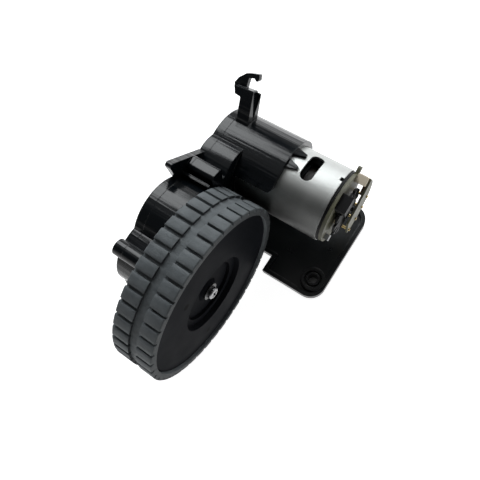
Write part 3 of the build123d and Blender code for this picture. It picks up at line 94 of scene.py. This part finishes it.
def link_spans(tree, value, low, high, at_low, at_high):
    """Value between low and high, carried over to the span from at_low to at_high and held beyond it."""
    spans = tree.nodes.new("ShaderNodeMapRange")
    spans.inputs["From Min"].default_value = low
    spans.inputs["From Max"].default_value = high
    spans.inputs["To Min"].default_value = at_low
    spans.inputs["To Max"].default_value = at_high
    tree.links.new(value, spans.inputs["Value"])
    return spans.outputs["Result"]


def link_distance(tree, coords, place):
    away = tree.nodes.new("ShaderNodeVectorMath")
    away.operation = "DISTANCE"
    away.inputs[1].default_value = place
    tree.links.new(coords.outputs["Object"], away.inputs[0])
    return away.outputs["Value"]


def link_facing(tree, coords, axis):
    """How far the surface faces along an axis, from minus one to one."""
    parts = tree.nodes.new("ShaderNodeSeparateXYZ")
    tree.links.new(coords.outputs["Normal"], parts.inputs["Vector"])
    return parts.outputs[axis]


def link_side_mask(tree, coords):
    """One on faces that run along Y and zero on faces square to it."""
    slope = tree.nodes.new("ShaderNodeMath")
    slope.operation = "ABSOLUTE"
    mask = tree.nodes.new("ShaderNodeMath")
    mask.operation = "SUBTRACT"
    mask.inputs[0].default_value = 1.0
    mask.use_clamp = True
    tree.links.new(link_facing(tree, coords, "Y"), slope.inputs[0])
    tree.links.new(slope.outputs[0], mask.inputs[1])
    return mask.outputs[0]


def link_colour(tree, source, base, spread, scale):
    """Colour that drifts a little darker and lighter over the surface."""
    ramp = tree.nodes.new("ShaderNodeValToRGB")
    ends = ramp.color_ramp.elements
    ends[0].position = NOISE_LOW
    ends[1].position = NOISE_HIGH
    ends[0].color = (*[part * (1 - spread) for part in base], 1)
    ends[1].color = (*[part * (1 + spread) for part in base], 1)
    tree.links.new(link_noise(tree, source, scale, COLOUR_DETAIL), ramp.inputs["Fac"])
    return ramp.outputs["Color"]


def link_darker(tree, colour, share):
    """Colour scaled by the share of it that is left."""
    scaled = tree.nodes.new("ShaderNodeVectorMath")
    scaled.operation = "SCALE"
    tree.links.new(colour, scaled.inputs[0])
    tree.links.new(share, scaled.inputs["Scale"])
    return scaled.outputs["Vector"]


def link_roughness(tree, source, rough, spread, scale):
    noise = link_noise(tree, source, scale, ROUGHNESS_DETAIL)
    return link_spans(tree, noise, NOISE_LOW, NOISE_HIGH, rough - spread, rough + spread)


def link_bump(tree, source, scale, height, edge, mask):
    """Fine surface relief on top of slightly rounded edges, as strong as the mask where there is one."""
    bump = tree.nodes.new("ShaderNodeBump")
    bump.inputs["Strength"].default_value = 1.0
    bump.inputs["Distance"].default_value = height
    edges = tree.nodes.new("ShaderNodeBevel")
    edges.samples = EDGE_SAMPLES
    edges.inputs["Radius"].default_value = edge
    tree.links.new(link_noise(tree, source, scale, RELIEF_DETAIL), bump.inputs["Height"])
    tree.links.new(edges.outputs["Normal"], bump.inputs["Normal"])
    if mask:
        tree.links.new(mask, bump.inputs["Strength"])
    return bump.outputs["Normal"]


def material(name, base, rough=0.4, metallic=0.0, spread=0.12, scale=60.0, rough_spread=0.06,
             grain=900.0, height=0.00002, stretch=(1, 1, 1), edge=0.0002, specular=0.5, streaks=False,
             side_shade_share=1.0, dent_shades=(), facing_shade_share=1.0):
    """Principled material. A share below one paints shade on the sides or on the faces turned towards minus
    X, darkening them to that share.
    """
    mat = bpy.data.materials.new(name)
    mat.use_nodes = True
    tree = mat.node_tree
    shader = tree.nodes["Principled BSDF"]
    coords = tree.nodes.new("ShaderNodeTexCoord")
    mapping = tree.nodes.new("ShaderNodeMapping")
    mapping.inputs["Scale"].default_value = stretch
    tree.links.new(coords.outputs["Object"], mapping.inputs["Vector"])
    source = mapping.outputs["Vector"]
    colour = link_colour(tree, source, base, spread, scale)
    # Painted shade on the faces square to Y
    if side_shade_share < 1.0:
        side_mask = link_side_mask(tree, coords)
        left = link_spans(tree, side_mask, 0.0, SIDE_SHADE_CLEAR, side_shade_share, 1.0)
        colour = link_darker(tree, colour, left)
    # Painted shade on the faces turned towards minus X
    if facing_shade_share < 1.0:
        facing = link_facing(tree, coords, "X")
        left = link_spans(tree, facing, CAN_SHADE_FULL, CAN_SHADE_CLEAR, facing_shade_share, 1.0)
        colour = link_darker(tree, colour, left)
    # Painted shade in the dents
    for place in dent_shades:
        away = link_distance(tree, coords, place)
        left = link_spans(tree, away, DENT_SHADE_DARK_R, DENT_SHADE_CLEAR_R, DENT_SHADE_SHARE, 1.0)
        colour = link_darker(tree, colour, left)
    roughness = link_roughness(tree, source, rough, rough_spread, scale * ROUGHNESS_SCALE_SHARE)
    streak_mask = link_side_mask(tree, coords) if streaks else None
    relief = link_bump(tree, source, grain, height, edge, streak_mask)
    tree.links.new(colour, shader.inputs["Base Color"])
    tree.links.new(roughness, shader.inputs["Roughness"])
    tree.links.new(relief, shader.inputs["Normal"])
    shader.inputs["Metallic"].default_value = metallic
    shader.inputs["Specular IOR Level"].default_value = specular
    return mat


# The tyre is a matt grey rubber, and the mouldings are black: glossy, satin or matt
# Painted shade darkens every face of the tyre that is square to its axis, such as its sides
tyre_rubber = material("tyre_rubber", (0.102, 0.113, 0.119), rough=0.60, spread=0.16, scale=260,
                       grain=1600, height=0.00010, edge=0.00025, specular=0.16, side_shade_share=0.40)
black_moulding = material("black_moulding", (0.0030, 0.0042, 0.0056), rough=0.17, spread=0.25, scale=45,
                          grain=480, height=0.0003, stretch=(1, 0.03, 1), edge=0.0003, specular=0.31,
                          streaks=True)
bracket_moulding = material("bracket_moulding", (0.0022, 0.0034, 0.0046), rough=0.33, spread=0.25, scale=45,
                            grain=1800, height=0.000008, edge=0.0006, specular=0.32)
# The hub gets the painted shade of two small dents
hub_moulding = material("hub_moulding", (0.0080, 0.0087, 0.0106), rough=0.46, spread=0.20, scale=50,
                        grain=2200, height=0.00001, edge=0.00025, specular=0.008, dent_shades=HUB_DENT_SHADES)
matt_black = material("matt_black", (0.004, 0.004, 0.0045), rough=0.55, spread=0.3, scale=80,
                      grain=2000, height=0.00001, edge=0.0001, specular=0.2)

# Metals of the motor, screws, bushes and contacts
# The can's faces turned towards the wheel are darkened with painted shade
can_steel = material("can_steel", (0.475, 0.485, 0.475), rough=0.43, metallic=1.0, spread=0.05, scale=30,
                     rough_spread=0.03, grain=700, height=0.00004, stretch=(0.15, 5, 0.15), edge=0.0002,
                     facing_shade_share=CAN_SHADE_SHARE)
bright_steel = material("bright_steel", (0.34, 0.34, 0.35), rough=0.28, metallic=1.0, spread=0.06, scale=200,
                        grain=1500, height=0.000004, edge=0.0001)
washer_steel = material("washer_steel", (0.09, 0.09, 0.09), rough=0.34, metallic=1.0, spread=0.2, scale=200,
                        grain=1500, height=0.000004, edge=0.0001)
# Near black and matt as painted shade: the armature core is seen only in the shade inside the can
core_steel = material("core_steel", (0.012, 0.012, 0.013), rough=0.6, specular=0.1, spread=0.15, scale=40,
                      grain=300, height=0.00001, stretch=(1, 12, 1), edge=0.0001)
bronze = material("bronze", (0.42, 0.28, 0.14), rough=0.42, metallic=1.0, spread=0.15, scale=300,
                  edge=0.0001)
brass = material("brass", (0.66, 0.50, 0.22), rough=0.3, metallic=1.0, spread=0.1, scale=200, edge=0.00005)
copper = material("copper", (0.58, 0.27, 0.13), rough=0.35, metallic=1.0, spread=0.2, scale=100,
                  grain=2500, height=0.00004, stretch=(1, 4, 1), edge=0.0001)

# Other parts of the motor, the gears and what is on the boards
ferrite = material("ferrite", (0.012, 0.012, 0.013), rough=0.7, spread=0.2, scale=150, edge=0.0001,
                   specular=0.1)
# Near black as painted shade over the windings' enamelled copper, which is seen only in the shade inside the
# can
enamel_in_painted_shade = material("enamel_in_painted_shade", (0.010, 0.005, 0.003), rough=0.5, spread=0.3, scale=100,
                       grain=2500, height=0.00004, stretch=(1, 4, 1), edge=0.0001)
gear_plastic = material("gear_plastic", (0.70, 0.68, 0.58), rough=0.45, spread=0.05, scale=80, edge=0.0001)
board_laminate = material("board_laminate", (0.10, 0.098, 0.062), rough=0.5, spread=0.35, scale=260,
                          grain=2500, height=0.00002, edge=0.00008)
cream_plastic = material("cream_plastic", (0.76, 0.67, 0.53), rough=0.4, spread=0.08, scale=90, edge=0.0001)
brown_body = material("brown_body", (0.10, 0.045, 0.02), rough=0.3, spread=0.2, scale=150, edge=0.0001)
grey_body = material("grey_body", (0.35, 0.36, 0.37), rough=0.4, spread=0.1, scale=150, edge=0.0001)

# Whatever isn't named here is bright steel
FINISHES = {
    "tyre": tyre_rubber,
    "wheel_hub": hub_moulding,
    "wheel_washer": washer_steel,
    "output_shaft": washer_steel,
    "gearbox_housing": black_moulding,
    "gearbox_cover": black_moulding,
    "bracket": bracket_moulding,
    "bracket_cradle": bracket_moulding,
    "pivot_post": bracket_moulding,
    "bracket_stop": bracket_moulding,
    "motor_can": can_steel,
    "motor_end_cap": matt_black,
    "encoder_sensor": matt_black,
    "encoder_wheel": matt_black,
    "motor_magnets": ferrite,
    "motor_brushes": ferrite,
    "armature_core": core_steel,
    "armature_windings": enamel_in_painted_shade,
    "commutator": copper,
    "front_output_bush": bronze,
    "rear_output_bush": bronze,
    "front_motor_bearing": bronze,
    "rear_motor_bearing": bronze,
    "motor_pinion": brass,
    "board_pins": brass,
    "connector_pins": brass,
    "output_gear": gear_plastic,
    "first_gear": gear_plastic,
    "second_gear": gear_plastic,
    "third_gear": gear_plastic,
    "motor_board": board_laminate,
    "encoder_board": board_laminate,
    "connector_housing": cream_plastic,
    "capacitor": brown_body,
    "grey_component": grey_body,
}


def dress_nodes():
    for name, obj in nodes.items():
        obj.data.materials.clear()
        obj.data.materials.append(FINISHES.get(name, bright_steel))


def round_tread(tyre):
    """Joins the loaded mesh, which is split at its sharp edges, and then rounds them."""
    joined_faces = tyre.modifiers.new("joined_faces", "WELD")
    joined_faces.merge_threshold = TREAD_JOIN_DISTANCE
    rounded_edges = tyre.modifiers.new("rounded_edges", "BEVEL")
    rounded_edges.width = TREAD_EDGE
    rounded_edges.segments = TREAD_EDGE_SEGMENTS
    rounded_edges.limit_method = "ANGLE"
    rounded_edges.angle_limit = math.radians(TREAD_EDGE_ANGLE)


def make_surroundings():
    world = bpy.data.worlds.new("studio")
    bpy.context.scene.world = world
    world.use_nodes = True
    tree = world.node_tree
    background = tree.nodes["Background"]
    background.inputs["Color"].default_value = (*WHITE, 1)
    coords = tree.nodes.new("ShaderNodeTexCoord")
    parts = tree.nodes.new("ShaderNodeSeparateXYZ")
    tree.links.new(coords.outputs["Generated"], parts.inputs["Vector"])
    glow = link_spans(tree, parts.outputs["Z"], HORIZON_TOP, SKY_FROM, HORIZON_GLOW, SKY_GLOW)
    tree.links.new(glow, background.inputs["Strength"])


def make_lamp(name, place, energy, size, colour):
    light = bpy.data.lights.new(name, "AREA")
    light.shape = "RECTANGLE"
    light.size, light.size_y = size
    light.energy = energy
    light.color = colour
    lamp = bpy.data.objects.new(name, light)
    lamp.location = place
    lamp.rotation_euler = (Vector(LAMP_AIM) - Vector(place)).to_track_quat("-Z", "Y").to_euler()
    bpy.context.scene.collection.objects.link(lamp)


def make_floor():
    mesh = bpy.data.meshes.new("floor")
    corners = [
        (-FLOOR_REACH, -FLOOR_REACH, 0),
        (FLOOR_REACH, -FLOOR_REACH, 0),
        (FLOOR_REACH, FLOOR_REACH, 0),
        (-FLOOR_REACH, FLOOR_REACH, 0),
    ]
    mesh.from_pydata(corners, [], [(0, 1, 2, 3)])
    floor = bpy.data.objects.new("floor", mesh)
    bpy.context.scene.collection.objects.link(floor)
    floor_white = material("floor_white", (0.60, 0.60, 0.60), rough=0.9, spread=0.01, scale=3,
                           rough_spread=0.02, grain=50, height=0.0, edge=0.0)
    mesh.materials.append(floor_white)
    tree = floor_white.node_tree
    shader = tree.nodes["Principled BSDF"]
    shader.inputs["Emission Color"].default_value = (*WHITE, 1)
    coords = tree.nodes.new("ShaderNodeTexCoord")
    # Painted shade: the floor's glow is off at the bottom of the raised screw hole
    distance = link_distance(tree, coords, HOLE_PLACE)
    glow = link_spans(tree, distance, HOLE_DARK_R, HOLE_LIT_R, 0.0, FLOOR_GLOW)
    tree.links.new(glow, shader.inputs["Emission Strength"])
    return floor


def make_camera():
    camera_data = bpy.data.cameras.new("photo_camera")
    camera_data.sensor_width = CAMERA_SENSOR
    camera_data.lens = CAMERA_LENS
    camera_data.clip_start = CAMERA_CLIP_START
    camera = bpy.data.objects.new("photo_camera", camera_data)
    right = CAMERA_RIGHT.normalized()
    up = (CAMERA_UP - right * CAMERA_UP.dot(right)).normalized()
    back = right.cross(up)
    turn = Matrix((right, up, back)).transposed()
    camera.matrix_world = Matrix.Translation(CAMERA_PLACE) @ turn.to_4x4()
    bpy.context.scene.collection.objects.link(camera)
    bpy.context.scene.camera = camera


dress_nodes()
round_tread(nodes["tyre"])
make_surroundings()
for lamp_name, settings in LAMPS.items():
    make_lamp(lamp_name, **settings)
floor = make_floor()
make_camera()
bpy.context.scene.view_settings.view_transform = "Standard"
